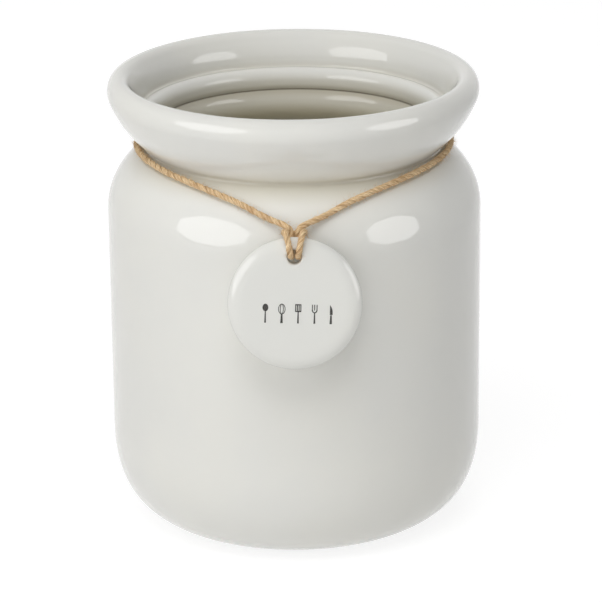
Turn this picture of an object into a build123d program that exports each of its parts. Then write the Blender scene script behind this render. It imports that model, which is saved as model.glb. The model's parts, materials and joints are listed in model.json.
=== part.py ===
from build123d import *
import math
import os

os.makedirs("parts", exist_ok=True)

# A round stoneware crock with a flared collar, a jute twine tied round its neck and a
# round glazed tag that hangs on its front. Millimetres, +Z up, the origin in the middle
# of the base on the ground, and the tag's side towards -Y.

# Outside of the crock
body_radius = 65.0
foot_radius = 32.8
heel_height = 33.5
rim_to_shoulder = 46.9
shoulder_reach = 36.6
shoulder_rise = 28.4
neck_radius = 51.05
neck_round = 2.6
rim_radius = 64.2
total_height = 160.4
lip_width = 8.3
lip_depth = 10.6
collar_handle = 10.7
heel_fullness_share = 0.68
lip_outer_angle = -27.0
funnel_angle = 28.0

# Underside of the foot
foot_ring_width = 6.0
foot_recess_depth = 1.6
foot_edge_round = 0.6

# Inside of the crock
wall_thickness = 6.5
floor_thickness = 9.0
floor_corner_radius = 25.0
neck_wall = 5.55
rim_to_ledge = 12.0
ledge_round = 2.2
bead_round = 4.0
bead_drop_share = 1.15
throat_round = 8.45
throat_drop = 9.9
throat_setback = 1.95
throat_end_angle = 50.0

# Twine
twine_diameter = 2.1
twine_clearance = 0.3

# Tag and its hole
tag_diameter = 44.5
tag_thickness = 5.5
tag_edge_reach = 5.0
tag_tilt = 7.3
hole_diameter = 4.8
hole_rise = 3.9
hole_to_centre = 15.9
hole_round = 0.6
face_clearance = 0.25

# Hitch: where the twine is looped through the tag's hole
strand_spacing = 2.25
loop_width = 5.5
bar_width = 7.0
loop_rise = 8.2
strand_rise = 7.6
strand_bend = 2.3
bar_rise_angle = 17.8
lift_half_width = 13.0
lift_gap = 0.3

# Knot at the back of the neck
knot_width = 6.2
knot_thickness = 4.5
knot_clearance = 0.15
tail_off = 1.75
tail_bend = 3.0
tail_azimuths = (2.5, 4.0, 5.0)
tail_rise_angles = (40.0, 28.0, 14.0)

# A bend in the twine takes this share of its shorter run
run_share = 0.45

twine_radius = twine_diameter / 2


def polar(centre, radius, degrees):
    """A point of the half section, on a circle about centre."""
    angle = math.radians(degrees)
    return (centre[0] + radius * math.cos(angle), centre[1] + radius * math.sin(angle))


def on_ellipse(centre, reach, rise, degrees):
    """A point of the half section, on an ellipse about centre."""
    angle = math.radians(degrees)
    return (centre[0] + reach * math.cos(angle), centre[1] + rise * math.sin(angle))


def section_arc(centre, radius, start, end):
    """An arc of the half section, from one angle to another in degrees."""
    middle = polar(centre, radius, (start + end) / 2)
    return ThreePointArc(polar(centre, radius, start), middle, polar(centre, radius, end))


def section_ellipse(centre, reach, rise, start, end):
    """An elliptical arc of the half section, anticlockwise from start to end."""
    return EllipticalCenterArc(centre, reach, rise, start, arc_size=end - start)


# Outer outline: the shoulder's ellipse ends where the collar begins
shoulder_height = total_height - rim_to_shoulder
shoulder_centre = (body_radius - shoulder_reach, shoulder_height)
shoulder_end = math.degrees(math.acos((neck_radius - shoulder_centre[0]) / shoulder_reach))
neck_point = on_ellipse(shoulder_centre, shoulder_reach, shoulder_rise, shoulder_end)

lip_reach = lip_width / 2
lip_rise = lip_depth / 2
lip_centre = (rim_radius - lip_reach, total_height - lip_rise)
lip_start = on_ellipse(lip_centre, lip_reach, lip_rise, lip_outer_angle)
lip_turn = math.radians(lip_outer_angle)
lip_tangent = Vector(-lip_reach * math.sin(lip_turn), lip_rise * math.cos(lip_turn)).normalized()
collar_control = (
    lip_start[0] - collar_handle * lip_tangent.X,
    lip_start[1] - collar_handle * lip_tangent.Y,
)

# The lip turns into the funnel of the mouth where both have one slope
ledge_height = total_height - rim_to_ledge
funnel_slope = math.tan(math.radians(funnel_angle))
lip_inner_angle = 180 - math.degrees(math.atan(lip_rise / lip_reach * funnel_slope))
lip_end = on_ellipse(lip_centre, lip_reach, lip_rise, lip_inner_angle)
funnel_end = (lip_end[0] - (lip_end[1] - ledge_height) * funnel_slope, ledge_height)

# Inner bead: the ledge runs tangent on to it, and the throat's round swell crosses it
throat_centre_radius = neck_radius - neck_wall + throat_round
bead_centre = (throat_centre_radius - throat_setback, ledge_height - bead_drop_share * bead_round)
to_ledge = Vector(funnel_end[0] - bead_centre[0], funnel_end[1] - bead_centre[1])
bead_start = math.degrees(math.atan2(to_ledge.Y, to_ledge.X) + math.acos(bead_round / to_ledge.length))
throat_centre = (throat_centre_radius, bead_centre[1] - throat_drop)
to_bead = Vector(bead_centre[0] - throat_centre[0], bead_centre[1] - throat_centre[1])
spread = to_bead.length
along = (throat_round**2 - bead_round**2 + spread**2) / (2 * spread)
crossing_turn = math.degrees(math.acos(along / throat_round))
throat_start = math.degrees(math.atan2(to_bead.Y, to_bead.X)) + crossing_turn
crossing = polar(throat_centre, throat_round, throat_start)
bead_end = math.degrees(math.atan2(crossing[1] - bead_centre[1], crossing[0] - bead_centre[0])) + 360

# The hollow under the throat widens along one arc into the straight inner wall
inner_radius = body_radius - wall_thickness
turn = math.radians(throat_end_angle)
widening = (inner_radius - throat_centre_radius + throat_round * math.cos(turn)) / (1 - math.cos(turn))
wall_top = throat_centre[1] - (throat_round + widening) * math.sin(turn)


def crock_section():
    """The half section of the crock, closed along the axis."""
    foot_inner = foot_radius - foot_ring_width
    under = (foot_inner, foot_recess_depth)
    heel_width = body_radius - foot_radius
    heel = Bezier(
        (foot_radius, 0),
        (foot_radius + heel_fullness_share * heel_width, 0),
        (body_radius, heel_height - heel_fullness_share * heel_height),
        (body_radius, heel_height),
    )
    widening_centre = (inner_radius - widening, wall_top)
    corner_centre = (inner_radius - floor_corner_radius, floor_thickness + floor_corner_radius)
    bead_top = polar(bead_centre, bead_round, bead_start)
    edges = [
        Line((0, foot_recess_depth), under),
        Line(under, (foot_inner + foot_recess_depth, 0)),
        Line((foot_inner + foot_recess_depth, 0), (foot_radius, 0)),
        heel,
        Line((body_radius, heel_height), (body_radius, shoulder_height)),
        section_ellipse(shoulder_centre, shoulder_reach, shoulder_rise, 0, shoulder_end),
        Bezier(neck_point, collar_control, lip_start),
        section_ellipse(lip_centre, lip_reach, lip_rise, lip_outer_angle, lip_inner_angle),
        Line(lip_end, funnel_end),
        Line(funnel_end, bead_top),
        section_arc(bead_centre, bead_round, bead_start, bead_end),
        section_arc(throat_centre, throat_round, throat_start, 180 + throat_end_angle),
        section_arc(widening_centre, widening, throat_end_angle, 0),
        Line((inner_radius, wall_top), (inner_radius, corner_centre[1])),
        section_arc(corner_centre, floor_corner_radius, 0, -90),
        Line((corner_centre[0], floor_thickness), (0, floor_thickness)),
        Line((0, floor_thickness), (0, foot_recess_depth)),
    ]
    return make_face(Wire(edges))


def circle_edge_at(solid, radius, height):
    """The solid's round edge nearest to a radius and a height."""
    def miss(edge):
        point = edge.position_at(0)
        return abs(math.hypot(point.X, point.Y) - radius) + abs(point.Z - height)

    return min(solid.edges().filter_by(GeomType.CIRCLE), key=miss)


def make_crock():
    """One fired piece: wall, floor, collar, lip and the beaded throat inside."""
    upright = Plane.XZ
    solid = revolve(upright * crock_section(), axis=Axis.Z)
    solid = fillet(circle_edge_at(solid, *neck_point), neck_round)
    solid = fillet(circle_edge_at(solid, *funnel_end), ledge_round)
    foot_edge = foot_radius - foot_ring_width + foot_recess_depth
    return fillet(circle_edge_at(solid, foot_edge, 0), foot_edge_round)


# The right half of the twine's way over the shoulder, from the hitch at the front into
# the groove and round to the knot, each point as x, y, z
route_right = [
    (2.4, -66.2, 126.0),
    (9.7, -61.7, 127.6),
    (17.5, -57.3, 130.9),
    (26.5, -51.3, 133.1),
    (36.0, -43.0, 134.6),
    (45.2, -31.7, 135.5),
    (52.3, -17.0, 136.0),
    (55.1, -1.0, 136.0),
    (53.0, 15.2, 136.0),
    (46.2, 30.1, 136.0),
    (35.4, 42.2, 136.0),
    (22.6, 50.9, 136.1),
    (9.3, 55.8, 136.1),
]

# The hitch ends and the round of the neck begins on the run between these two points, where
# the twine bends when the tag is lifted
lift_inner = Vector(*route_right[1])
lift_outer = Vector(*route_right[2])
lift_centre = lift_inner + (lift_outer - lift_inner) * (
    (lift_half_width - lift_inner.X) / (lift_outer.X - lift_inner.X)
)
print("lift axis", lift_centre)


def bend_radii(points, largest=None):
    """Each corner's radius: a fixed share of its shorter run over the half turn."""
    radii = []
    for before, here, after in zip(points, points[1:], points[2:]):
        run_in = Vector(*here) - Vector(*before)
        run_out = Vector(*after) - Vector(*here)
        half_turn = math.radians(run_in.get_angle(run_out)) / 2
        radius = run_share * min(run_in.length, run_out.length) / math.tan(half_turn)
        radii.append(min(radius, largest) if largest else radius)
    return radii


def twine_tube(name, points, largest=None):
    """A length of twine along its route, as straight runs joined by tangent arcs."""
    radii = bend_radii(points, largest)
    path = FilletPolyline(*points, radius=radii)
    section = Plane(origin=path @ 0, z_dir=path % 0) * Circle(twine_radius)
    tube = sweep(section, path=path)
    full = math.pi * twine_radius**2 * path.length
    print(name, "length", round(path.length, 1), "volume share", round(tube.volume / full, 4))
    print(name, "bend radii", [round(radius, 1) for radius in radii])
    return tube


def off_shoulder(azimuth, rise_angle, off):
    """A point off the shoulder's surface, at an azimuth from the front in degrees."""
    near = on_ellipse(shoulder_centre, shoulder_reach, shoulder_rise, rise_angle)
    angle = math.radians(rise_angle)
    normal = Vector(math.cos(angle) / shoulder_reach, math.sin(angle) / shoulder_rise).normalized()
    radius = near[0] + off * normal.X
    around = math.radians(azimuth)
    return (radius * math.sin(around), -radius * math.cos(around), near[1] + off * normal.Y)


# The twine draws the tag's top back over the shoulder, so its face is turned a little up.
# Behind it lie two strands, and behind them the loop's bar rests on the shoulder
bar = off_shoulder(0, bar_rise_angle, twine_radius + twine_clearance)
strand_off = twine_radius + face_clearance
tag_half = tag_thickness / 2
strand_depth = tag_half + strand_off
bar_depth = strand_depth + twine_diameter + face_clearance
tilt = math.radians(tag_tilt)
hole_height = shoulder_height + hole_rise
hole_depth = bar[1] - (bar_depth + (bar[2] - hole_height) * math.sin(tilt)) / math.cos(tilt)
tag_plane = Plane(
    origin=(0, hole_depth, hole_height),
    x_dir=(1, 0, 0),
    z_dir=(0, -math.cos(tilt), math.sin(tilt)),
)
print("swing axis", tag_plane.origin, tag_plane.z_dir)


def make_tag():
    """A round glazed disc with a soft edge and one hole near its top."""
    tag_radius = tag_diameter / 2
    edge_centre = (tag_radius - tag_edge_reach, 0)
    outline = [
        Line((0, -tag_half), (edge_centre[0], -tag_half)),
        section_ellipse(edge_centre, tag_edge_reach, tag_half, -90, 90),
        Line((edge_centre[0], tag_half), (0, tag_half)),
        Line((0, tag_half), (0, -tag_half)),
    ]
    disc = revolve(Plane.XZ * make_face(Wire(outline)), axis=Axis.Z)
    disc = Pos(0, -hole_to_centre, 0) * disc
    disc = disc - Cylinder(hole_diameter / 2, 2 * tag_thickness)
    rims = [e for e in disc.edges().filter_by(GeomType.CIRCLE) if e.radius < hole_diameter]
    return tag_plane.location * fillet(rims, hole_round)


def on_tag(across, out, up):
    """A point given across the tag's face, out from its middle and up from its hole."""
    point = tag_plane.from_local_coords(Vector(across, up, out))
    return (point.X, point.Y, point.Z)


def mirrored(points):
    """A route's points on the left side, as on the right."""
    return [(-x, y, z) for x, y, z in points]


def front_block(half_width):
    """A block that holds all in front of the axis within a half width of the middle."""
    reach = 2 * body_radius
    return Pos(0, -reach / 2, 0) * Box(2 * half_width, reach, 2 * total_height)


def hitch_route():
    """Down behind the tag and out through its hole, up its front and over its edge, then
    across behind itself as a bar, and back on the other side alike."""
    strand = strand_spacing / 2
    half_loop = loop_width / 2
    half_bar = bar_width / 2
    right = [
        route_right[2],
        route_right[1],
        route_right[0],
        on_tag(strand, -strand_depth, strand_rise),
        on_tag(strand, -strand_depth, 0),
        on_tag(strand, strand_depth, 0),
        on_tag(half_loop, strand_depth, loop_rise),
        on_tag(half_bar, 0, loop_rise),
        (half_bar, bar[1], bar[2]),
    ]
    return right + mirrored(right)[::-1]


def make_hitch():
    """The twine looped through the tag's hole."""
    tube = twine_tube("hitch", hitch_route(), strand_bend)
    return tube & front_block(lift_half_width)


def make_neck_twine():
    """The twine round the neck, from one end of the hitch to the other."""
    right = route_right[1:]
    tube = twine_tube("neck_twine", mirrored(right) + right[::-1])
    return tube - front_block(lift_half_width + lift_gap)


def make_back_knot():
    """The knot that closes the twine behind the neck, with its two short tails."""
    depth = route_right[-1][1]
    height = route_right[-1][2]
    outline = make_face([
        EllipticalCenterArc((0, 0), knot_width / 2, knot_thickness / 2, 0, arc_size=180),
        Line((-knot_width / 2, 0), (knot_width / 2, 0)),
    ])
    knot = Pos(0, depth, height) * revolve(outline, axis=Axis.X)
    for side in (-1, 1):
        ways = zip(tail_azimuths, tail_rise_angles)
        tail = [off_shoulder(180 + side * turn_away, rise, tail_off) for turn_away, rise in ways]
        start = (side * knot_width / 4, depth, height)
        knot += twine_tube("tail", [start] + tail, tail_bend)
    bore = Pos(0, depth, height) * Rot(0, 90, 0) * Cylinder(twine_radius + knot_clearance, 2 * knot_width)
    return knot - bore


parts = {
    "crock": make_crock(),
    "neck_twine": make_neck_twine(),
    "back_knot": make_back_knot(),
    "hitch": make_hitch(),
    "tag": make_tag(),
}
for name, shape in parts.items():
    export_step(shape, f"parts/{name}.step")
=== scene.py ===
# %% [markdown]
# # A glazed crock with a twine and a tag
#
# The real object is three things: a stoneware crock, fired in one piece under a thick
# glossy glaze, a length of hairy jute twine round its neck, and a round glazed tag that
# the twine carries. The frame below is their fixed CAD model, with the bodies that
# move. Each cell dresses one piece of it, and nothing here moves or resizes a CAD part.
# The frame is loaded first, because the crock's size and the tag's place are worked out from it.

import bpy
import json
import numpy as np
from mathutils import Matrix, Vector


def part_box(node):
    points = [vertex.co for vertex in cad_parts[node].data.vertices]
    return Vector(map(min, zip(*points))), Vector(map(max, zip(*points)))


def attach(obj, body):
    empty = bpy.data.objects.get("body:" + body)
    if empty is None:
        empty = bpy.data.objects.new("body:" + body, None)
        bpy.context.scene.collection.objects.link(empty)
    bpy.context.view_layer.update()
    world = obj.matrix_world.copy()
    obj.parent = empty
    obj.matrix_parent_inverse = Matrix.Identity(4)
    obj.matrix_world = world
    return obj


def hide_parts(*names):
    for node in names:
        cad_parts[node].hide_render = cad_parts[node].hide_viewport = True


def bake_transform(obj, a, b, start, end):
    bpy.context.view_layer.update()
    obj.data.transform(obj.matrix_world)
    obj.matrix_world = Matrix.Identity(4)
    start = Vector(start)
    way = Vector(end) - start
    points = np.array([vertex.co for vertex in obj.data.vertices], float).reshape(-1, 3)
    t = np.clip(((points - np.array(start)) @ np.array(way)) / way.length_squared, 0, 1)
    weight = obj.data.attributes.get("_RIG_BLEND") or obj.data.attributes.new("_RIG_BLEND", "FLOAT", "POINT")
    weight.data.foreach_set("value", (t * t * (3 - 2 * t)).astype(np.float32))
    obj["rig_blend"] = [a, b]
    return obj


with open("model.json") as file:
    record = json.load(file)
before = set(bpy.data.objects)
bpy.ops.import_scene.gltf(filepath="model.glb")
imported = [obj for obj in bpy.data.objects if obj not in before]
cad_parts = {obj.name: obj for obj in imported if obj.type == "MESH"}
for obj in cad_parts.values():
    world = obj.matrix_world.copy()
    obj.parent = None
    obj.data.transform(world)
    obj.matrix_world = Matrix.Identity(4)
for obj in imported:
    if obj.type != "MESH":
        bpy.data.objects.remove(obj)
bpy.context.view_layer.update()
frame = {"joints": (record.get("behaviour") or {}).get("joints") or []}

import bmesh
import bpy
import json
import math
import numpy as np
from mathutils import Matrix, Vector

MM = 0.001
for leftover in ("Cube", "Camera", "Light"):
    if leftover in bpy.data.objects:
        bpy.data.objects.remove(bpy.data.objects[leftover])
joints = {joint["name"]: joint for joint in frame["joints"]}

# %% [markdown]
# ## The camera
#
# The picture is taken from a little above the rim with a long lens, so the crock's
# sides look nearly parallel. The place could be found by eye, but the ellipses of the
# rim, shoulder and base fix it: the rim's height over its width gives the elevation,
# and how much wider the rim looks than the base gives the distance. The camera is also
# turned by half a degree about its own axis, which leans the crock slightly.

# %% Camera
camera_elevation = math.radians(19.04)
camera_distance = 1159 * MM
camera_aim = Vector((1.99, 0, 77.0)) * MM
camera_roll = -0.0097
lens_length = 196.4
sensor_width = 36.0
farthest_seen = 20.0

camera = bpy.data.objects.new("camera", bpy.data.cameras.new("camera"))
bpy.context.scene.collection.objects.link(camera)
bpy.context.scene.camera = camera
camera.data.sensor_width = sensor_width
camera.data.lens = lens_length
camera.data.clip_end = farthest_seen
looking = Vector((0, math.cos(camera_elevation), -math.sin(camera_elevation)))
camera.location = camera_aim - looking * camera_distance
camera.rotation_mode = "QUATERNION"
level = looking.to_track_quat("-Z", "Y")
camera.rotation_quaternion = level @ Matrix.Rotation(camera_roll, 4, "Z").to_quaternion()
print("camera at", [round(c, 4) for c in camera.location])

# %% [markdown]
# ## Sums in node trees
#
# Both materials and Geometry Nodes are trees of nodes, and their maths is long to wire
# by hand. The small class below wraps one output of a node, so that Python's own signs
# add the Math nodes: `1 - mask` or `wave * height`. Any other node comes from one
# method, which takes the node's type, its settings and what goes into its sockets.

# %% Node trees from expressions
class Output:
    """One output of a node. Python's signs and the methods below add Math nodes to it."""

    def __init__(self, graph, socket):
        self.graph = graph
        self.socket = socket

    def maths(self, operation, *values):
        return self.graph.node("ShaderNodeMath", {"operation": operation}, dict(enumerate(values)))

    def __add__(self, other):
        return self.maths("ADD", self, other)

    def __radd__(self, other):
        return self.maths("ADD", other, self)

    def __sub__(self, other):
        return self.maths("SUBTRACT", self, other)

    def __rsub__(self, other):
        return self.maths("SUBTRACT", other, self)

    def __mul__(self, other):
        return self.maths("MULTIPLY", self, other)

    def __rmul__(self, other):
        return self.maths("MULTIPLY", other, self)

    def __truediv__(self, other):
        return self.maths("DIVIDE", self, other)

    def __rtruediv__(self, other):
        return self.maths("DIVIDE", other, self)

    def __pow__(self, other):
        return self.maths("POWER", self, other)

    def cos(self):
        return self.maths("COSINE", self)

    def sin(self):
        return self.maths("SINE", self)

    def exp(self):
        return self.maths("EXPONENT", self)

    def size(self):
        return self.maths("ABSOLUTE", self)

    def below(self, limit):
        return self.maths("LESS_THAN", self, limit)

    def ramp(self, low, high):
        """0 below low, 1 above high, and a smooth step between them."""
        settings = {"interpolation_type": "SMOOTHSTEP"}
        return self.graph.node("ShaderNodeMapRange", settings, {0: self, 1: low, 2: high})

    def part(self, name):
        """Another output of the same node."""
        return Output(self.graph, self.socket.node.outputs[name])


class Graph:
    """A node tree that grows by node(), the one method that adds any kind of node."""

    def __init__(self, tree):
        self.tree = tree

    def node(self, kind, settings=None, sockets=None, output=0):
        made = self.tree.nodes.new(kind)
        for name, value in (settings or {}).items():
            setattr(made, name, value)
        for name, value in (sockets or {}).items():
            if isinstance(value, Output):
                self.tree.links.new(value.socket, made.inputs[name])
            else:
                made.inputs[name].default_value = value
        return Output(self, made.outputs[output]) if made.outputs else None


def linear(red, green, blue):
    """A colour as it is seen on a screen, 0 to 255, as the linear colour that Blender uses."""
    def one(value):
        share = value / 255
        return share / 12.92 if share <= 0.04045 else ((share + 0.055) / 1.055) ** 2.4

    return (one(red), one(green), one(blue), 1)


print("a screen's middle grey, 128, is", round(linear(128, 128, 128)[0], 3))

# %% [markdown]
# ## The twine's way
#
# The twine comes first of all the pieces, because where it lies decides what it may touch. It starts at the
# knot behind the neck, runs in the groove under the collar, comes down over the shoulder and meets the tag
# in front. The points are the same ones that the solid tube follows, and a NURBS curve with those points as
# its control points gives the smooth line of something limp that is pulled tight.

# %% Route of the twine
route_right = [
    (2.4, -66.2, 126.0),
    (9.7, -61.7, 127.6),
    (17.5, -57.3, 130.9),
    (26.5, -51.3, 133.1),
    (36.0, -43.0, 134.6),
    (45.2, -31.7, 135.5),
    (52.3, -17.0, 136.0),
    (55.1, -1.0, 136.0),
    (53.0, 15.2, 136.0),
    (46.2, 30.1, 136.0),
    (35.4, 42.2, 136.0),
    (22.6, 50.9, 136.1),
    (9.3, 55.8, 136.1),
]
tag_thickness = 5.5 * MM

swing = joints["tag_swing"]
hole = Vector(swing["pos_m"])
tag_out = Vector(swing["axis"]).normalized()
tag_across = Vector((1, 0, 0))
tag_up = tag_out.cross(tag_across)


def on_tag(across, out, up):
    """A point in millimetres across the tag's face, out from its middle, up from its hole."""
    return hole + (across * tag_across + out * tag_out + up * tag_up) * MM


def mirrored(points):
    return [Vector((-p[0], p[1], p[2])) for p in points]


route_right = [Vector(point) * MM for point in route_right]
loop_right = [
    on_tag(1.1, -4.05, 7.6),
    on_tag(1.1, -4.05, 0),
    on_tag(1.1, 4.0, -0.2),
    on_tag(2.6, 3.9, 8.2),
    on_tag(3.3, 0, 8.2),
    Vector((3.4, -64.6, 122.8)) * MM,
]
knot_entry = Vector((1.5, 56.0, 136.1)) * MM
right_half = [knot_entry] + route_right[::-1] + loop_right
route = right_half + mirrored(right_half)[::-1]


def nurbs_object(name, points, resolution=12):
    """A curve object with one NURBS spline through these control points."""
    data = bpy.data.curves.new(name, "CURVE")
    data.dimensions = "3D"
    spline = data.splines.new("NURBS")
    spline.points.add(len(points) - 1)
    for place, point in zip(spline.points, points):
        place.co = (*point, 1)
    spline.order_u = 3
    spline.use_endpoint_u = True
    spline.resolution_u = resolution
    made = bpy.data.objects.new(name, data)
    bpy.context.scene.collection.objects.link(made)
    return made


def line_of(curve_object):
    """The points of a curve's own line, as an array of places in metres."""
    mesh = bpy.data.meshes.new_from_object(curve_object)
    points = np.empty(3 * len(mesh.vertices))
    mesh.vertices.foreach_get("co", points)
    bpy.data.meshes.remove(mesh)
    return points.reshape(-1, 3)


def lengths_along(points):
    """How far along a line each of its points lies."""
    steps = np.linalg.norm(np.diff(points, axis=0), axis=1)
    return np.concatenate([[0], np.cumsum(steps)])


twine_route = nurbs_object("twine_route", route)
twine_line = line_of(twine_route)
twine_along = lengths_along(twine_line)
twine_length = twine_along[-1]
print("twine from knot to knot", round(twine_length / MM, 1), "mm")

# %% [markdown]
# ## Jute by Geometry Nodes
#
# Jute twine is two plies laid round each other, so its section has two lobes that turn
# as they go along. The strand could be a plain tube with a bumpy material, but the
# turning lobes show at its outline. Here Curve to Mesh sweeps the two-lobed section
# along the route, and the curve's tilt turns it once in every lay. Real twine is thick
# and thin by turns, so the curve's radius wanders a little too. Loose fibres are the
# other thing that makes jute look like jute: Distribute Points on Faces scatters them
# with a fixed seed, and each is a thin bent hair with three sides.

# %% Helpers for Geometry Nodes
def new_tree(name, inputs):
    """A Geometry Nodes group with these named inputs: its graph, its input node, its keys."""
    tree = bpy.data.node_groups.new(name, "GeometryNodeTree")
    tree.interface.new_socket("Geometry", in_out="OUTPUT", socket_type="NodeSocketGeometry")
    keys = {}
    for label, kind in inputs:
        socket = tree.interface.new_socket(label, in_out="INPUT", socket_type=kind)
        keys[label] = socket.identifier
    graph = Graph(tree)
    return graph, graph.node("NodeGroupInput"), keys


def store(graph, geometry, name, value, kind="FLOAT"):
    """Keeps a value on the geometry's points under a name."""
    return graph.node(
        "GeometryNodeStoreNamedAttribute",
        {"data_type": kind, "domain": "POINT"},
        {"Geometry": geometry, "Name": name, "Value": value},
    )


def point_at(graph, x, y, z):
    return graph.node("ShaderNodeCombineXYZ", {}, {"X": x, "Y": y, "Z": z})


def wobble(graph, run, row, frequency):
    """Noise about zero along a line. Each row is a noise of its own."""
    sockets = {"Vector": point_at(graph, run, row, 0.0), "Scale": frequency}
    return graph.node("ShaderNodeTexNoise", {}, sockets, "Fac") - 0.5


def random_number(graph, low, high, seed):
    sockets = {2: low, 3: high, "Seed": seed}
    return graph.node("FunctionNodeRandomValue", {"data_type": "FLOAT"}, sockets, output=1)


def end_tree(graph, geometry, material):
    """Realises the instances, sets the material and ends the tree."""
    real = graph.node("GeometryNodeRealizeInstances", {}, {"Geometry": geometry})
    sockets = {"Geometry": real, "Material": material}
    dressed = graph.node("GeometryNodeSetMaterial", {}, sockets)
    graph.node("NodeGroupOutput", {}, {"Geometry": dressed})


def grow(mesh, graph, keys, values):
    """What a tree makes of a mesh, as a plain mesh with no modifier."""
    holder = bpy.data.objects.new("holder", mesh)
    bpy.context.scene.collection.objects.link(holder)
    modifier = holder.modifiers.new("grow", "NODES")
    modifier.node_group = graph.tree
    for label, value in values.items():
        modifier[keys[label]] = value
    view = bpy.context.evaluated_depsgraph_get()
    made = bpy.data.meshes.new_from_object(
        holder.evaluated_get(view), preserve_all_data_layers=True, depsgraph=view
    )
    holder.modifiers.remove(modifier)
    bpy.data.objects.remove(holder)
    return made


def piece(name, mesh, body, slot, *nodes):
    """A finished mesh as an object that rides on a body and replaces CAD nodes."""
    mesh.name = name
    made = bpy.data.objects.new(name, mesh)
    bpy.context.scene.collection.objects.link(made)
    if body:
        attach(made, body)
    if nodes:
        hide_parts(*nodes)
    print(name, "has", len(mesh.polygons), "faces")
    return made


# %% Sizes and inputs of a jute strand
lay_length = 7.6 * MM
ring_step = 0.36 * MM
ring_points = 28
valley_width = 0.36
valley_depth_share = 0.28
lump_share = 0.42
lump_frequency = 700.0
twist_wander = 2.4
twist_wander_frequency = 110.0
thick_and_thin = 0.9
thick_and_thin_frequency = 80.0
hair_length = 2.2 * MM
shortest_hair_share = 0.3
hair_thickness = 0.05 * MM
hair_tip_thinning = 0.7
hair_spacing = 0.78 * MM
hair_lean = 0.5

jute, given, jute_keys = new_tree("jute_strand", [
    ("Line", "NodeSocketGeometry"),
    ("Radius", "NodeSocketFloat"),
    ("Lay length", "NodeSocketFloat"),
    ("Ring step", "NodeSocketFloat"),
    ("Hair spacing", "NodeSocketFloat"),
    ("Hair length", "NodeSocketFloat"),
    ("Seed", "NodeSocketInt"),
    ("Material", "NodeSocketMaterial"),
])
radius = given.part("Radius")
seed = given.part("Seed")
print("one lay of the twine is", round(lay_length / ring_step), "rings")

# %% The strand's line and section
line = jute.node("GeometryNodeMeshToCurve", {}, {"Mesh": given.part("Line")})
sockets = {"Curve": line, "Length": given.part("Ring step")}
line = jute.node("GeometryNodeResampleCurve", {"mode": "LENGTH"}, sockets)
run = jute.node("GeometryNodeSplineParameter", output="Length")
line = store(jute, line, "along", run)
turns = run / given.part("Lay length")
twist = turns * math.tau + wobble(jute, run, 0.0, twist_wander_frequency) * twist_wander
line = jute.node("GeometryNodeSetCurveTilt", {}, {"Curve": line, "Tilt": twist})
thick = 1 + wobble(jute, run, 3.0, thick_and_thin_frequency) * thick_and_thin
line = jute.node("GeometryNodeSetCurveRadius", {}, {"Curve": line, "Radius": thick})

sockets = {"Resolution": ring_points}
ring = jute.node("GeometryNodeCurvePrimitiveCircle", {"mode": "RADIUS"}, sockets)
angle = jute.node("GeometryNodeSplineParameter", output="Factor") * math.tau
ring = store(jute, ring, "around", angle)
side = angle.cos()
valley = (side / valley_width * (side / valley_width) * -1).exp()
reach = radius * (1 - valley * valley_depth_share)
place = point_at(jute, side * reach, angle.sin() * reach, 0.0)
ring = jute.node("GeometryNodeSetPosition", {}, {"Geometry": ring, "Position": place})
sockets = {"Curve": line, "Profile Curve": ring, "Fill Caps": True}
strand = jute.node("GeometryNodeCurveToMesh", {}, sockets)

where = jute.node("GeometryNodeInputPosition")
sockets = {"Vector": where, "Scale": lump_frequency}
lumps = jute.node("ShaderNodeTexNoise", {}, sockets, "Fac") - 0.5
sockets = {0: jute.node("GeometryNodeInputNormal"), "Scale": lumps * radius * lump_share}
swell = jute.node("ShaderNodeVectorMath", {"operation": "SCALE"}, sockets)
strand = jute.node("GeometryNodeSetPosition", {}, {"Geometry": strand, "Offset": swell})
print("the strand takes", len(jute.tree.nodes), "nodes")

# %% Loose fibres on the strand
density = 1 / (given.part("Hair spacing") * given.part("Hair spacing"))
sockets = {"Mesh": strand, "Density": density, "Seed": seed}
roots = jute.node("GeometryNodeDistributePointsOnFaces", {}, sockets)
sockets = {0: (-1, -1, -1), 1: (1, 1, 1), "Seed": seed}
stray = jute.node("FunctionNodeRandomValue", {"data_type": "FLOAT_VECTOR"}, sockets)
sockets = {0: roots.part("Normal"), 1: (hair_lean,) * 3, 2: stray}
lean = jute.node("ShaderNodeVectorMath", {"operation": "MULTIPLY_ADD"}, sockets)
facing = jute.node("FunctionNodeAlignRotationToVector", {"axis": "Z"}, {"Vector": lean})

sockets = {
    "Resolution": 4,
    "Start": (0, 0, -0.1),
    "Middle": (0.05, 0, 0.5),
    "End": (0.4, 0.15, 0.8),
}
bend = jute.node("GeometryNodeCurveQuadraticBezier", {}, sockets)
thinner = 1 - jute.node("GeometryNodeSplineParameter", output="Factor") * hair_tip_thinning
bend = jute.node("GeometryNodeSetCurveRadius", {}, {"Curve": bend, "Radius": thinner})
sockets = {"Resolution": 3, "Radius": hair_thickness / hair_length / 2}
round_hair = jute.node("GeometryNodeCurvePrimitiveCircle", {"mode": "RADIUS"}, sockets)
sockets = {"Curve": bend, "Profile Curve": round_hair, "Fill Caps": True}
hair = jute.node("GeometryNodeCurveToMesh", {}, sockets)
long_or_short = random_number(jute, shortest_hair_share, 1.0, seed) * given.part("Hair length")
hair_size = point_at(jute, long_or_short, long_or_short, long_or_short)
sockets = {"Points": roots, "Instance": hair, "Rotation": facing, "Scale": hair_size}
hairs = jute.node("GeometryNodeInstanceOnPoints", {}, sockets)
both = jute.node("GeometryNodeJoinGeometry")
for made in (strand, hairs):
    jute.tree.links.new(made.socket, both.socket.node.inputs[0])
both = jute.node("GeometryNodeSetShadeSmooth", {}, {"Geometry": both})
end_tree(jute, both, given.part("Material"))
print("jute tree has", len(jute.tree.nodes), "nodes")
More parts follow.
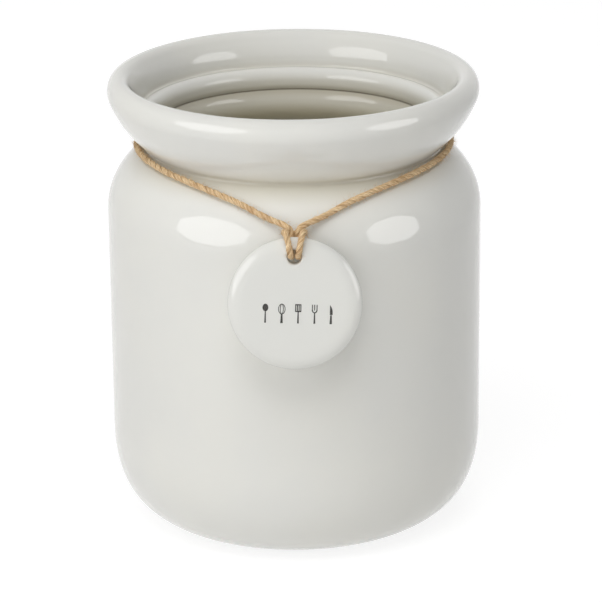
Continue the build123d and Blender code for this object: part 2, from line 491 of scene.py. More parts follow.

# %% [markdown]
# ## Jute's colour
#
# Jute is pale straw to brown, and no two fibres are quite alike. The fibres lie nearly
# along the strand, so the noise is stretched along it. It could be an image, but the
# strand already knows how far along and how far round each point is, and those two
# numbers, turned into a place on a long thin cylinder, carry a pattern with no seam.
# The valley between the plies is painted darker, as shade and dust, because less light and more dust gets
# there.

# %% Helpers for materials
def new_material(name):
    """A material with an empty tree: its graph and itself."""
    made = bpy.data.materials.new(name)
    made.use_nodes = True
    made.node_tree.nodes.clear()
    return Graph(made.node_tree), made


def read(graph, name):
    """An attribute that the mesh carries under this name, as a number."""
    return graph.node("ShaderNodeAttribute", {"attribute_name": name}, output="Fac")


def noise(graph, place, scale, detail=2.0):
    sockets = {"Vector": place, "Scale": scale, "Detail": detail}
    return graph.node("ShaderNodeTexNoise", {}, sockets, output="Fac")


def mix(graph, share, first, second, blend="MIX"):
    """The first colour where share is 0 and the second where it is 1."""
    settings = {"data_type": "RGBA", "blend_type": blend}
    return graph.node("ShaderNodeMix", settings, {0: share, 6: first, 7: second}, output=2)


def surface(graph, **sockets):
    """A Principled surface as the material's output."""
    sockets = {name.replace("_", " "): value for name, value in sockets.items()}
    made = graph.node("ShaderNodeBsdfPrincipled", {}, sockets)
    graph.node("ShaderNodeOutputMaterial", {}, {"Surface": made})


print("materials so far:", len(bpy.data.materials))

# %% Jute material
pale_fibre = linear(250, 226, 184)
brown_fibre = linear(204, 163, 114)
stain = linear(172, 126, 80)
shade_and_dust_valley = linear(146, 102, 62)
fibre_stretch = 110
patch_stretch = 70
fibre_depth = 0.15 * MM

m, jute_material = new_material("jute")
along = read(m, "along")
around = read(m, "around")
fibre_place = point_at(m, around.cos(), around.sin(), along * fibre_stretch)
patch_place = point_at(m, around.cos() * 0.3, around.sin() * 0.3, along * patch_stretch)
fibres = noise(m, fibre_place, 5.0, 4.0)
patches = noise(m, patch_place, 2.2)
valley = around.cos().size().ramp(0.5, 0.02)
straw = mix(m, fibres.ramp(0.38, 0.62), brown_fibre, pale_fibre)
straw = mix(m, patches.ramp(0.5, 0.72) * 0.5, straw, stain)
# Painted shade, with some dust, darkens the valley between the plies.
straw = mix(m, valley * 0.45, straw, shade_and_dust_valley)
sockets = {"Height": fibres, "Strength": 0.8, "Distance": fibre_depth}
surface(m, Base_Color=straw, Roughness=0.85, Normal=m.node("ShaderNodeBump", {}, sockets))
print("jute material has", len(jute_material.node_tree.nodes), "nodes")

# %% [markdown]
# ## The twine round the neck
#
# The twine is one length, but the frame cuts it where it bends when the tag is lifted.
# The whole strand is grown once, so that its lay runs on without a break, and then cut
# by how far along each face is: the neck's part rides with the necklace, the loop with
# the hitch, and two short stretches between them bend, half with one and half with the
# other. Each cut end is closed.

# %% Grow and cut the twine
strand_radius = 1.05 * MM


def strand_mesh(line_object, seed, **changes):
    """A jute strand along a curve object."""
    values = {
        "Radius": strand_radius,
        "Lay length": lay_length,
        "Ring step": ring_step,
        "Hair spacing": hair_spacing,
        "Hair length": hair_length,
        "Seed": seed,
        "Material": jute_material,
    }
    values.update(changes)
    return grow(bpy.data.meshes.new_from_object(line_object), jute, jute_keys, values)


def cut_out(mesh, stretches):
    """A copy of the strand between pairs of lengths along it, with its ends closed."""
    work = bmesh.new()
    work.from_mesh(mesh)
    layer = work.verts.layers.float["along"]

    def is_outside(face):
        middle = sum(vertex[layer] for vertex in face.verts) / len(face.verts)
        return not any(low <= middle < high for low, high in stretches)

    bmesh.ops.delete(work, geom=[face for face in work.faces if is_outside(face)], context="FACES")
    bmesh.ops.holes_fill(work, edges=[edge for edge in work.edges if edge.is_boundary])
    made = mesh.copy()
    work.to_mesh(made)
    work.free()
    return made


def length_where(line, along, x, second_half=False):
    """How far along the route it crosses an upright plane in front, at this x."""
    for i in range(len(line) - 1):
        in_front = line[i][1] < 0 and (along[i] > along[-1] / 2) == second_half
        if in_front and (line[i][0] - x) * (line[i + 1][0] - x) <= 0:
            share = (x - line[i][0]) / (line[i + 1][0] - line[i][0])
            return along[i] + share * (along[i + 1] - along[i])


print("strand is", round(2 * strand_radius / MM, 2), "mm over its two lobes")

# %% Cut and dress the twine's pieces
bend_outer = 17.2 * MM
bend_inner = 9.0 * MM
bend_y = -58.5 * MM
bend_z = 129.5 * MM
whole_strand = strand_mesh(twine_route, 11)
right_outer = length_where(twine_line, twine_along, bend_outer)
right_inner = length_where(twine_line, twine_along, bend_inner)
left_inner = twine_length - right_inner
left_outer = twine_length - right_outer
twine_neck = piece(
    "twine_neck", cut_out(whole_strand, [(-1, right_outer), (left_outer, twine_length + 1)]),
    "necklace", "twine", "neck_twine",
)
piece(
    "twine_loop", cut_out(whole_strand, [(right_inner, left_inner)]), "hitch", "twine", "hitch"
)
for name, turn, stretch in (
    ("twine_front_right", 1, (right_outer, right_inner)),
    ("twine_front_left", -1, (left_inner, left_outer)),
):
    bending = piece(name, cut_out(whole_strand, [stretch]), None, "twine")
    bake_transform(bending, "necklace", "hitch", start=(turn * bend_outer, bend_y, bend_z),
             end=(turn * bend_inner, bend_y, bend_z))

right_part = twine_line[twine_along < right_outer]
left_part = twine_line[twine_along > left_outer]

# %% [markdown]
# ## The knot behind the neck
#
# The photo shows only the front, so the knot is a guess: a plain reef knot, the usual
# way to close a tied twine, with two short tails that lie down on the shoulder. Each
# of its two ends goes over and under the other, so it is given as points in the knot's
# own directions, across, up and out from the neck, and the other end is the same turned
# half round. Both are strands of the same jute.

# %% Knot
knot_centre = Vector((0, 55.8, 136.1)) * MM
knot_strand_radius = 0.98 * MM
knot_half = [
    (-9, 0, 0.1), (-5.2, 0.35, -0.1), (-3.2, 0.95, -0.75), (-0.6, 1.25, -0.3), (1.6, 1.2, 0.75),
    (3.2, 0.6, 1.25), (3.4, -0.7, 1.2), (1.6, -1.35, 0.7), (-0.8, -1.3, -0.3), (-3.0, -1.3, -0.6),
    (-4.6, -2.6, 0.4), (-5.4, -5.0, 2.6), (-6.0, -8.2, 5.4), (-6.8, -11.5, 8.2),
]


def knot_points(turn):
    return [knot_centre + Vector((turn * x, out, up)) * MM for x, up, out in knot_half]


knot_meshes = []
for turn, seed in ((1, 21), (-1, 22)):
    half = nurbs_object("knot_half", knot_points(turn))
    knot_meshes.append(strand_mesh(half, seed, Radius=knot_strand_radius))
    bpy.data.objects.remove(half)


def joined(meshes):
    work = bmesh.new()
    for mesh in meshes:
        work.from_mesh(mesh)
    made = meshes[0].copy()
    work.to_mesh(made)
    work.free()
    return made


piece("twine_knot", joined(knot_meshes), "necklace", "twine", "back_knot")
bpy.data.objects.remove(twine_route)

# %% [markdown]
# ## The crock's outline
#
# The crock is thrown or cast as one round piece, so half of its section says all about
# its shape. The section could be drawn by hand as one curve, but the pot has plain
# stretches, as its maker would name them: a heel that swells into a straight wall, a
# round shoulder, a flared collar, a thick lip, and inside it a funnel, a bead and a
# throat. Each is an arc, an ellipse or a Bezier curve from a few sizes, in the frame's
# own places. Where two meet in a valley, the glaze has filled it, so it is softened.

# %% Sizes of the outline
_, crock_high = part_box("crock")
body_radius = crock_high.x
total_height = crock_high.z
foot_radius = 32.8 * MM
foot_ring_width = 6.0 * MM
foot_recess_depth = 1.6 * MM
foot_edge_round = 0.6 * MM
heel_height = 33.5 * MM
heel_fullness_share = 0.68
rim_to_shoulder = 46.9 * MM
shoulder_reach = 36.6 * MM
shoulder_rise = 28.4 * MM
neck_radius = 51.05 * MM
neck_soft = 1.7 * MM
rim_radius = 64.2 * MM
lip_width = 8.3 * MM
lip_depth = 10.6 * MM
lip_outer_angle = -27.0
collar_handle = 10.7 * MM
funnel_top_angle = 31.0
funnel_foot_angle = 5.0
funnel_soft = 3.2 * MM
funnel_foot = (53.7 * MM, 148.0 * MM)
wall_thickness = 6.5 * MM
floor_thickness = 9.0 * MM
floor_corner_radius = 25.0 * MM
ledge_soft = 1.1 * MM
bead_centre = (52.0 * MM, 144.1 * MM)
bead_reach = 3.2 * MM
bead_rise = 4.35 * MM
bead_fall = 6.6 * MM
throat_centre = (55.8 * MM, 135.7 * MM)
throat_round = 8.4 * MM
throat_end_angle = 50.0
row_length = 2.2 * MM
nearest_points = 0.01 * MM
print("crock is", round(2 * body_radius / MM, 1), "mm across,", round(total_height / MM, 1), "high")


# %% Curves of a section
def arc(centre, reach, rise, start, end, count):
    """Points on a circle or ellipse of the section, from one angle to another in degrees."""
    angles = np.radians(np.linspace(start, end, count))
    return np.stack([centre[0] + reach * np.cos(angles), centre[1] + rise * np.sin(angles)], 1)


def bezier(controls, count):
    """Points on a Bezier curve, by halving the way between its controls again and again."""
    share = np.linspace(0, 1, count)[:, None]
    rows = [np.broadcast_to(np.array(c, float), (count, 2)) for c in controls]
    while len(rows) > 1:
        rows = [a * (1 - share) + b * share for a, b in zip(rows, rows[1:])]
    return rows[0]


def straight(start, end):
    """Points on a straight stretch, about one row apart."""
    start, end = np.array(start), np.array(end)
    count = max(2, math.ceil(np.linalg.norm(end - start) / row_length) + 1)
    return start + (end - start) * np.linspace(0, 1, count)[:, None]


def shortened(points, length):
    """A stretch with this length taken off its end."""
    left = lengths_along(points)
    wanted = left[-1] - length
    tip = [np.interp(wanted, left, points[:, axis]) for axis in (0, 1)]
    return np.concatenate([points[left < wanted - length / 20], [tip]])


def softened(first, second, setback, count=9):
    """Two stretches that meet in a corner, joined by a small curve over it."""
    corner = first[-1]
    first = shortened(first, setback)
    second = shortened(second[::-1], setback)[::-1]
    return [first, bezier([first[-1], corner, second[0]], count), second]


print("a quarter round in three points:", arc((0, 0), 1, 1, 0, 90, 3).round(2).tolist())

# %% Shoulder, collar and lip
shoulder_centre = (body_radius - shoulder_reach, total_height - rim_to_shoulder)
shoulder_end = math.degrees(math.acos((neck_radius - shoulder_centre[0]) / shoulder_reach))
shoulder = arc(shoulder_centre, shoulder_reach, shoulder_rise, 0, shoulder_end, 34)

lip_reach, lip_rise = lip_width / 2, lip_depth / 2
lip_centre = (rim_radius - lip_reach, total_height - lip_rise)
funnel_slope = math.tan(math.radians(funnel_top_angle))
lip_inner_angle = 180 - math.degrees(math.atan(lip_rise / lip_reach * funnel_slope))
lip = arc(lip_centre, lip_reach, lip_rise, lip_outer_angle, lip_inner_angle, 44)
lip_turn = math.radians(lip_outer_angle)
lip_tangent = np.array([-lip_reach * math.sin(lip_turn), lip_rise * math.cos(lip_turn)])
lip_tangent /= np.linalg.norm(lip_tangent)
collar = bezier([shoulder[-1], lip[0] - collar_handle * lip_tangent, lip[0]], 26)

print("the neck is narrowest at", (shoulder[-1] / MM).round(2), "mm")


# %% Funnel, bead and throat
def leaning(angle):
    """The way across and up of a line that leans out from upright by this angle."""
    turn = math.radians(angle)
    return np.array([math.sin(turn), math.cos(turn)])


top_way = -leaning(funnel_top_angle)
foot_way = leaning(funnel_foot_angle)
to_foot = np.array(funnel_foot) - lip[-1]
along_top, _ = np.linalg.solve(np.stack([top_way, -foot_way], 1), to_foot)
funnel_bend = lip[-1] + along_top * top_way
*funnel, funnel_end = softened(
    straight(lip[-1], funnel_bend), straight(funnel_bend, funnel_foot), funnel_soft, 16
)

bead_top = arc(bead_centre, bead_reach, bead_rise, 90, 180, 22)
bead_under = arc(bead_centre, bead_reach, bead_fall, 180, 270, 90)
outside_throat = np.hypot(*(bead_under - throat_centre).T) > throat_round
# The many points put the crease in its place, and one in four is enough for the shape.
bead_under = bead_under[outside_throat][::4]
crease = bead_under[-1]
throat_start = math.degrees(math.atan2(crease[1] - throat_centre[1], crease[0] - throat_centre[0]))
throat_end = 180 + throat_end_angle
throat = arc(throat_centre, throat_round, throat_round, throat_start, throat_end, 36)
print("the glaze has a sharp crease at", (crease / MM).round(2), "mm")

# %% Inside, foot and the whole outline
inner_radius = body_radius - wall_thickness
cosine = math.cos(math.radians(throat_end_angle))
sine = math.sin(math.radians(throat_end_angle))
widening = (inner_radius - throat_centre[0] + throat_round * cosine) / (1 - cosine)
widening_centre = (inner_radius - widening, throat_centre[1] - (throat_round + widening) * sine)
corner_centre = (inner_radius - floor_corner_radius, floor_thickness + floor_corner_radius)

foot_inner = foot_radius - foot_ring_width
foot_edge = (foot_inner + foot_recess_depth, 0)
foot_width = body_radius - foot_radius
heel = bezier([
    (foot_radius, 0),
    (foot_radius + heel_fullness_share * foot_width, 0),
    (body_radius, (1 - heel_fullness_share) * heel_height),
    (body_radius, heel_height),
], 36)
recess = straight((0, foot_recess_depth), (foot_inner, foot_recess_depth))
step = straight(recess[-1], foot_edge)
stretches = [
    recess,
    *softened(step, straight(foot_edge, (foot_radius, 0)), foot_edge_round),
    heel,
    straight(heel[-1], shoulder[0]),
    *softened(shoulder, collar, neck_soft),
    lip,
    *funnel,
    *softened(funnel_end, straight(funnel_foot, bead_top[0]), ledge_soft),
    bead_top,
    bead_under,
    throat,
    arc(widening_centre, widening, widening, throat_end_angle, 0, 16),
    straight((inner_radius, widening_centre[1]), (inner_radius, corner_centre[1])),
    arc(corner_centre, floor_corner_radius, floor_corner_radius, 0, -90, 18),
    straight((corner_centre[0], floor_thickness), (0, floor_thickness)),
]
outline = np.concatenate(stretches)
apart = np.concatenate([[True], np.linalg.norm(np.diff(outline, axis=0), axis=1) > nearest_points])
outline = outline[apart]
print("outline has", len(outline), "points")

# %% [markdown]
# ## The crock by Geometry Nodes
#
# A round pot is its outline turned about an axis. The Screw modifier or a spin would
# do it too, but here a flat grid is wrapped round the axis: one way of the grid picks a
# point of the outline, the other way is the angle. That leaves a free hand for what a
# fired pot has and a turned line has not, a faint wander of the surface that bends the
# reflections in the glaze. The seam and the two poles are merged at the end.

# %% Wrap the outline round the axis
crock_sides = 288
wander_height = 0.09 * MM
wander_frequency = 26.0
still_below = 2 * MM
wanders_above = 12 * MM
seam_distance = 0.002 * MM
sharp_angle = math.radians(32)

lathe, given, lathe_keys = new_tree("wrapped_outline", [
    ("Outline", "NodeSocketGeometry"),
    ("Sides", "NodeSocketInt"),
    ("Wander", "NodeSocketFloat"),
    ("Material", "NodeSocketMaterial"),
])
profile = given.part("Outline")
points = lathe.node("GeometryNodeAttributeDomainSize", {"component": "MESH"}, {0: profile})
sockets = {"Size X": 1, "Size Y": 1, "Vertices X": given.part("Sides") + 1, "Vertices Y": points}
grid = lathe.node("GeometryNodeMeshGrid", {}, sockets)
flat = lathe.node("ShaderNodeSeparateXYZ", {}, {0: lathe.node("GeometryNodeInputPosition")})
row = (flat.part("Y") + 0.5) * (points - 1)
row = lathe.node("FunctionNodeFloatToInt", {"rounding_mode": "ROUND"}, {0: row})
sockets = {0: profile, "Value": lathe.node("GeometryNodeInputPosition"), "Index": row}
settings = {"data_type": "FLOAT_VECTOR", "domain": "POINT"}
section = lathe.node("GeometryNodeSampleIndex", settings, sockets)
section = lathe.node("ShaderNodeSeparateXYZ", {}, {0: section})
angle = (flat.part("X") + 0.5) * math.tau
place = point_at(lathe, section * angle.cos(), section * angle.sin(), section.part("Z"))
pot = lathe.node("GeometryNodeSetPosition", {}, {"Geometry": grid, "Position": place})
pot = lathe.node("GeometryNodeMergeByDistance", {}, {"Geometry": pot, "Distance": seam_distance})

where = lathe.node("GeometryNodeInputPosition")
height = lathe.node("ShaderNodeSeparateXYZ", {}, {0: where}).part("Z")
level = height.ramp(still_below, wanders_above)
sockets = {"Vector": where, "Scale": wander_frequency, "Detail": 1.0}
sway = lathe.node("ShaderNodeTexNoise", {}, sockets, "Fac")
sockets = {
    0: lathe.node("GeometryNodeInputNormal"),
    "Scale": (sway - 0.5) * given.part("Wander") * 2 * level,
}
offset = lathe.node("ShaderNodeVectorMath", {"operation": "SCALE"}, sockets)
pot = lathe.node("GeometryNodeSetPosition", {}, {"Geometry": pot, "Offset": offset})
is_soft = lathe.node("GeometryNodeInputMeshEdgeAngle").below(sharp_angle)
pot = lathe.node("GeometryNodeSetShadeSmooth", {}, {"Geometry": pot})
sockets = {"Geometry": pot, "Shade Smooth": is_soft}
pot = lathe.node("GeometryNodeSetShadeSmooth", {"domain": "EDGE"}, sockets)
end_tree(lathe, pot, given.part("Material"))
print("the pot's tree has", len(lathe.tree.nodes), "nodes")


# %% Helpers for closed meshes
def line_mesh(points):
    """Points of a section, across and up, as a mesh of edges."""
    mesh = bpy.data.meshes.new("line")
    places = [(across, 0, up) for across, up in points]
    mesh.from_pydata(places, [(i, i + 1) for i in range(len(places) - 1)], [])
    return mesh


def facing_out(mesh):
    """The same closed mesh with its faces turned outwards, by the sign of its volume."""
    work = bmesh.new()
    work.from_mesh(mesh)
    if work.calc_volume(signed=True) < 0:
        bmesh.ops.reverse_faces(work, faces=work.faces)
    open_edges = sum(edge.is_boundary for edge in work.edges)
    print("volume", round(work.calc_volume() / MM**3), "cubic mm, open edges", open_edges)
    work.to_mesh(mesh)
    work.free()
    return mesh


print("the outline is", round(lengths_along(outline)[-1] / MM), "mm long")

# %% [markdown]
# ## The glaze
#
# The glaze is a thick, glossy off-white, slightly warm, as smooth as glass. Most of it could be one colour,
# but painted shade is mixed into it in the hollows: honey and olive for the shade and warm bounced light in
# the throat, on the bead, at the funnel's foot and under the collar, and brown in the sharp crease under the
# inner bead, where the glaze also pools. So the colour is mixed from soft bands about the places that the
# outline already gives. The foot ring is wiped clean before firing, and shows bare clay.

# %% Glaze material
cloud_frequency = 24.0
cloud_tint = (1.03, 1.025, 1.01, 1)
polish_frequency = 60.0
smoothest = 0.015
polish_wander = 0.03
ripple_frequency = 90.0
ripple_height = 0.6 * MM
ripple_strength = 0.04
wipe_wander = 1.2 * MM
grit_frequency = 2500.0
dark_clay = linear(205, 190, 166)
pale_clay = linear(222, 210, 190)


def glaze(name, white, shade_and_pooling_bands=(), with_foot=False):
    """A glossy glaze. A band of painted shade is (across, up, width, strength, tint) of the outline."""
    m, made = new_material(name)
    where = m.node("ShaderNodeTexCoord", output="Object")
    xyz = m.node("ShaderNodeSeparateXYZ", {}, {0: where})
    across = (xyz * xyz + xyz.part("Y") * xyz.part("Y")) ** 0.5
    up = xyz.part("Z")
    cloud = noise(m, where, cloud_frequency, 3.0)
    clouded = tuple(channel * tint for channel, tint in zip(white, cloud_tint))
    colour = mix(m, cloud.ramp(0.3, 0.7), white, clouded)
    # Painted shade: each band mixes the glaze towards its tint near one place of the outline.
    for r, z, width, strength, tint in shade_and_pooling_bands:
        away = ((across - r) * (across - r) + (up - z) * (up - z)) ** 0.5
        colour = mix(m, away.ramp(width, 0) * strength, colour, tint)
    roughness = noise(m, where, polish_frequency) * polish_wander + smoothest
    ripple = noise(m, where, ripple_frequency, 1.0)
    sockets = {"Height": ripple, "Strength": ripple_strength, "Distance": ripple_height}
    normal = m.node("ShaderNodeBump", {}, sockets)
    if with_foot:
        edge = across + (noise(m, where, 180.0) - 0.5) * wipe_wander
        bare = edge.ramp(foot_radius + 1.8 * MM, foot_radius + 1.0 * MM)
        bare = bare * up.ramp(0.9 * MM, 0.5 * MM)
        bare = bare * across.ramp(foot_inner - 0.5 * MM, foot_inner + 0.3 * MM)
        grit = noise(m, where, grit_frequency, 3.0)
        clay = mix(m, grit.ramp(0.35, 0.65), dark_clay, pale_clay)
        colour = mix(m, bare, colour, clay)
        roughness = roughness + bare * 0.7
    surface(m, Base_Color=colour, Roughness=roughness, Normal=normal, IOR=1.5)
    return made


print("the bare clay is", [round(channel, 2) for channel in pale_clay[:3]])

# %% Glaze on the crock
glaze_white = (0.815, 0.812, 0.772, 1)
olive = linear(150, 140, 112)
brown = linear(66, 52, 34)
honey = linear(198, 184, 142)
throat_reach = throat_centre[0] - throat_round
# Painted shade and warm bounced light: honey in the throat and on the bead, olive about the crease, at the
# funnel's foot and under the collar, and brown in the crease, where the glaze also pools.
shade_and_pooling_bands = [
    (throat_reach, throat_centre[1] - 6 * MM, 13 * MM, 0.75, honey),
    (bead_centre[0] - bead_reach, bead_centre[1] - 2 * MM, 6 * MM, 0.3, honey),
    (crease[0] - 0.8 * MM, crease[1] - 1.5 * MM, 3.5 * MM, 0.35, olive),
    (crease[0], crease[1], 2.6 * MM, 0.45, olive),
    (crease[0] + 0.3 * MM, crease[1], 0.75 * MM, 0.95, brown),
    (funnel_foot[0], funnel_foot[1], 3.0 * MM, 0.3, olive),
    (shoulder[-1][0], shoulder[-1][1], 2.5 * MM, 0.3, olive),
]
crock_glaze = glaze("crock_glaze", glaze_white, shade_and_pooling_bands, with_foot=True)
pot_values = {"Sides": crock_sides, "Wander": wander_height, "Material": crock_glaze}
piece(
    "glazed_crock", facing_out(grow(line_mesh(outline), lathe, lathe_keys, pot_values)),
    "crock", "glaze", "crock",
)

# %% [markdown]
# ## The tag
#
# The tag is a round of the same clay, pressed flat, with a soft edge from the glaze and
# one hole. A disc with a Boolean hole would do, but its facets would show in the gloss.
# So the face is built of rings: first rings about the disc's own middle, where the edge
# rounds over, then rings that draw in and slide up to end as the rim of the hole. The
# height of each point comes from how near it is to the edge and to the hole.

# %% Sizes and height of the tag
tag_radius = 22.25 * MM
tag_edge_reach = 5.0 * MM
edge_rows_reach = tag_edge_reach * 0.8
hole_radius = 2.4 * MM
hole_to_centre = 15.9 * MM
hole_soft = 0.65 * MM
tag_dome = 0.2 * MM
tag_sides = 224
rings_bunch = 1.6


def tag_height(x, y):
    """Half the tag's thickness at places on its face, measured from the hole's middle."""
    to_edge = tag_radius - np.hypot(x, y + hole_to_centre)
    edge = np.clip(1 - to_edge / tag_edge_reach, 0, 1)
    to_hole = np.clip(1 - (np.hypot(x, y) - hole_radius) / hole_soft, 0, 1)
    dome = tag_dome * (1 - ((tag_radius - to_edge) / tag_radius) ** 2)
    height = (tag_thickness / 2 - tag_dome + dome) * np.sqrt(1 - edge**2)
    return height - hole_soft * (1 - np.sqrt(1 - to_hole**2))


def tag_rings():
    """Rings from the tag's edge to its hole: how far the middle has slid up, and radius."""
    quarter = np.linspace(0, math.pi / 2, 18)[:-1]
    for turn in quarter:
        yield 0.0, tag_radius - edge_rows_reach * (1 - math.cos(turn))
    inner = tag_radius - edge_rows_reach
    for share in 1 - (1 - np.linspace(0, 1, 40)) ** rings_bunch:
        yield hole_to_centre * share, inner + (hole_radius - inner) * share


middle_height = tag_height(0.0, -hole_to_centre)
print("the tag is", round(2 * middle_height / MM, 2), "mm thick in the middle")

# %% Tag
turns = np.linspace(0, math.tau, tag_sides, endpoint=False)
front_rings = []
for slid, ring_radius in tag_rings():
    x = ring_radius * np.cos(turns)
    y = ring_radius * np.sin(turns) - hole_to_centre + slid
    front_rings.append(np.stack([x, y, tag_height(x, y)], 1))
back_rings = [ring * (1, 1, -1) for ring in front_rings[:0:-1]]
inside_hole = [front_rings[-1] * (1, 1, share) for share in (0.5, 0, -0.5)]
rings = front_rings + inside_hole + back_rings
places = np.concatenate(rings)
faces = []
for ring in range(len(rings)):
    here, there = ring * tag_sides, (ring + 1) % len(rings) * tag_sides
    for i in range(tag_sides):
        j = (i + 1) % tag_sides
        faces.append((here + i, here + j, there + j, there + i))
tag_mesh = bpy.data.meshes.new("tag")
tag_mesh.from_pydata([on_tag(x, z, y) for x, y, z in (places / MM).tolist()], [], faces)
tag_mesh = facing_out(tag_mesh)
tag_mesh.shade_smooth()
tag_white = (0.80, 0.80, 0.76, 1)
tag_mesh.materials.append(glaze("tag_glaze", tag_white))
piece("glazed_tag", tag_mesh, "tag", "tag_glaze", "tag")

# %% [markdown]
# ## The print on the tag
#
# A row of small kitchen tools is printed on the tag in dark grey. The print could be a
# mask in the glaze's material, but flat shapes that stand a few hundredths of a
# millimetre proud of the face keep sharp edges from close by, and they are real
# geometry. Each tool is drawn with strokes and filled outlines, in shares of its height.

# %% Tools in strokes
print_height = 6.4 * MM
print_pitch = 5.4 * MM
print_across = 1.0 * MM
print_below_centre = 3.0 * MM
print_turn = math.radians(-1.9)
print_proud = 0.045 * MM
print_sunk = 0.25 * MM


def stroke(points, width):
    """The outline of a line of this width that runs through these points."""
    points = np.array(points, float)
    way = np.gradient(points, axis=0)
    way /= np.linalg.norm(way, axis=1)[:, None]
    side = np.stack([-way[:, 1], way[:, 0]], 1) * np.reshape(width, (-1, 1)) / 2
    return np.concatenate([points + side, (points - side)[::-1]])


def handle(top, width=0.06):
    """A straight handle that widens towards its lower end."""
    return stroke([(0, top), (0, -0.3), (0, -0.5)], [width, width * 1.3, width * 1.6])


def spoon():
    return [arc((0, 0.3), 0.15, 0.2, 0, 345, 24), handle(0.13)]


def fork():
    tines = [stroke([(x, 0.2), (x, 0.5)], 0.05) for x in (-0.12, 0, 0.12)]
    return tines + [stroke(arc((0, 0.22), 0.12, 0.14, 180, 360, 13), 0.06), handle(0.1)]


def whisk():
    wires = [stroke(arc((0, 0.24), reach, 0.26, -85, 265, 41), 0.038) for reach in (0.17, 0.08)]
    return wires + [handle(0.0, 0.085)]


def turner():
    slats = [stroke([(x, 0.14), (x, 0.48)], 0.055) for x in (-0.135, -0.045, 0.045, 0.135)]
    bars = [stroke([(-0.16, y), (0.16, y)], 0.06) for y in (0.13, 0.48)]
    return slats + bars + [handle(0.12)]


def knife():
    edge = bezier([(0.08, -0.02), (0.12, 0.3), (-0.06, 0.5)], 14)
    return [np.concatenate([edge, [(-0.06, -0.02)]]), handle(-0.04, 0.08)]


print("each tool is", round(print_height / MM, 1), "mm high")


# %% Lay the print on the tag
def add_flat(work, outline):
    """A thin closed solid with this outline, laid on the tag's face."""
    cosine, sine = math.cos(print_turn), math.sin(print_turn)
    x = outline[:, 0] * cosine - outline[:, 1] * sine + print_across
    y = outline[:, 0] * sine + outline[:, 1] * cosine - hole_to_centre - print_below_centre
    height = tag_height(x, y)
    rows = []
    for level in (height + print_proud, height - print_sunk):
        places = np.stack([x, level, y], 1) / MM
        rows.append([work.verts.new(on_tag(*place)) for place in places.tolist()])
    top, low = rows
    work.faces.new(top)
    work.faces.new(low[::-1])
    for i in range(len(top)):
        j = (i + 1) % len(top)
        work.faces.new((top[j], top[i], low[i], low[j]))


m, ink = new_material("tag_ink")
speckle = noise(m, m.node("ShaderNodeTexCoord", output="Object"), 3000.0)
tone = mix(m, speckle.ramp(0.35, 0.7), linear(44, 42, 40), linear(74, 71, 66))
surface(m, Base_Color=tone, Roughness=speckle * 0.1 + 0.25)
work = bmesh.new()
tools = [spoon(), whisk(), turner(), fork(), knife()]
for number, outlines in enumerate(tools):
    middle = (number - (len(tools) - 1) / 2) * print_pitch
    for outline_shares in outlines:
        add_flat(work, outline_shares * print_height + (middle, 0))
bmesh.ops.recalc_face_normals(work, faces=work.faces)
bmesh.ops.triangulate(work, faces=work.faces)
print_mesh = bpy.data.meshes.new("print")
work.to_mesh(print_mesh)
work.free()
print_mesh.materials.append(ink)
piece("tag_print", facing_out(print_mesh), "tag", "tag_glaze")

# %% [markdown]
# ## Light and floor
#
# The pot stands on a white floor that runs into a white background, between two large
# soft boxes. The boxes could be a studio picture, but area lamps keep the light plain
# and show in the glaze as the bright patches that they are. A soft box has cut corners,
# so each lamp's own nodes leave its corners dark. Each box is two lamps, one that only
# the glaze mirrors and one that only lights, so that each can have its own strength.
# They stand a little apart, because a ray that meets two lamps in one place counts only
# the first. Three fills stand for the white walls and ceiling of the studio. The
# background's white is for the camera and for reflections only, so it doesn't add light
# to the pot, and the floor is partly that same white, which leaves a faint shadow on it.

# %% Lamps
pot_middle = Vector((0, 0, 85)) * MM
corner_share = 0.72


def softbox(name, azimuth, elevation, distance, width, height, radiance,
            in_glaze=True, in_colour=True):
    """An eight-sided soft box that faces the pot, as bright as a mirror would show it.

    It can be left out of what the glaze mirrors, or light nothing but that.
    """
    turn, rise = math.radians(azimuth), math.radians(elevation)
    way = Vector((
        math.sin(turn) * math.cos(rise),
        -math.cos(turn) * math.cos(rise),
        math.sin(rise),
    ))
    lamp = bpy.data.objects.new(name, bpy.data.lights.new(name, "AREA"))
    lamp.data.shape = "RECTANGLE"
    lamp.data.size = width
    lamp.data.size_y = height
    lamp.data.energy = radiance * width * height * math.pi
    lamp.data.use_nodes = True
    lamp.data.node_tree.nodes.clear()
    g = Graph(lamp.data.node_tree)
    place = g.node("ShaderNodeNewGeometry", output="Parametric")
    place = g.node("ShaderNodeSeparateXYZ", {}, {0: place})
    corner = (place - 0.5).size() + (place.part("Y") - 0.5).size()
    lit = g.node("ShaderNodeEmission", {}, {"Strength": corner.below(corner_share)})
    g.node("ShaderNodeOutputLight", {}, {"Surface": lit})
    lamp.visible_glossy = in_glaze
    lamp.visible_diffuse = in_colour
    lamp.location = pot_middle + way * distance
    lamp.rotation_euler = way.to_track_quat("Z", "Y").to_euler()
    bpy.context.scene.collection.objects.link(lamp)
    print(name, "gives", round(lamp.data.energy, 2), "W")


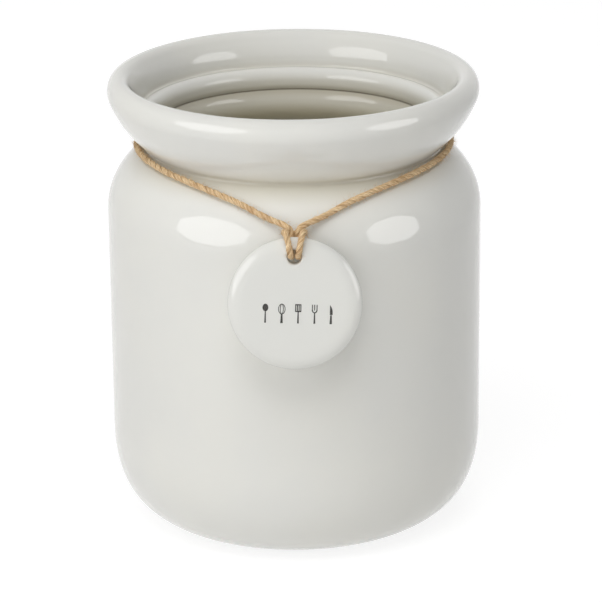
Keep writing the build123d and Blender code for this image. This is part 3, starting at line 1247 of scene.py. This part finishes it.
softbox("left_softbox", -52, 19, 1.3, 1.08, 0.87, 2.9, in_colour=False)
softbox("left_fill", -52, 19, 1.35, 1.12, 0.9, 1.52, in_glaze=False)
softbox("right_softbox", 62, 13, 1.3, 0.82, 0.82, 3.2, in_colour=False)
softbox("right_fill", 62, 13, 1.35, 0.85, 0.85, 0.16, in_glaze=False)
softbox("front_fill", -10, 12, 2.4, 1.6, 1.2, 1.25, in_glaze=False)
softbox("high_fill", -10, 60, 2.2, 1.6, 1.2, 3.63, in_glaze=False)
softbox("back_fill", 180, 50, 2.0, 1.6, 1.2, 0.8, in_glaze=False)

# %% World and floor
def is_seen(graph):
    """1 for the camera, and for what glossy and clear surfaces show."""
    path = graph.node("ShaderNodeLightPath", output="Is Camera Ray")
    seen = path.maths("MAXIMUM", path, path.part("Is Glossy Ray"))
    return seen.maths("MAXIMUM", seen, path.part("Is Transmission Ray"))


room_light = 0.237
world = bpy.data.worlds.new("white_room")
bpy.context.scene.world = world
world.use_nodes = True
world.node_tree.nodes.clear()
w = Graph(world.node_tree)
strength = is_seen(w) * (1 - room_light) + room_light
sockets = {"Color": (1, 1, 1, 1), "Strength": strength}
w.node("ShaderNodeOutputWorld", {}, {"Surface": w.node("ShaderNodeBackground", {}, sockets)})

shadow_share = 0.35
floor_glow = 1.273
floor_half = 2.5
m, floor_material = new_material("white_floor")
matt = m.node("ShaderNodeBsdfDiffuse", {}, {"Color": (0.9, 0.9, 0.9, 1)})
glow = m.node("ShaderNodeEmission", {}, {"Color": (1, 1, 1, 1), "Strength": floor_glow})
shader = m.node("ShaderNodeMixShader", {}, {0: is_seen(m) * (1 - shadow_share), 1: matt, 2: glow})
m.node("ShaderNodeOutputMaterial", {}, {"Surface": shader})
floor_mesh = bpy.data.meshes.new("floor")
corners = [(x * floor_half, y * floor_half, 0) for x, y in ((-1, -1), (1, -1), (1, 1), (-1, 1))]
floor_mesh.from_pydata(corners, [], [(0, 1, 2, 3)])
floor_mesh.materials.append(floor_material)
floor = bpy.data.objects.new("floor", floor_mesh)
bpy.context.scene.collection.objects.link(floor)
print("floor glows", floor_glow, "and keeps", shadow_share, "of its shadow")

# %% [markdown]
# ## Finish
#
# The colours are shown with the plain Standard view transform. The dressed crock may
# stand only a little proud of the CAD model.

# %% Finish
bpy.context.scene.view_settings.view_transform = "Standard"
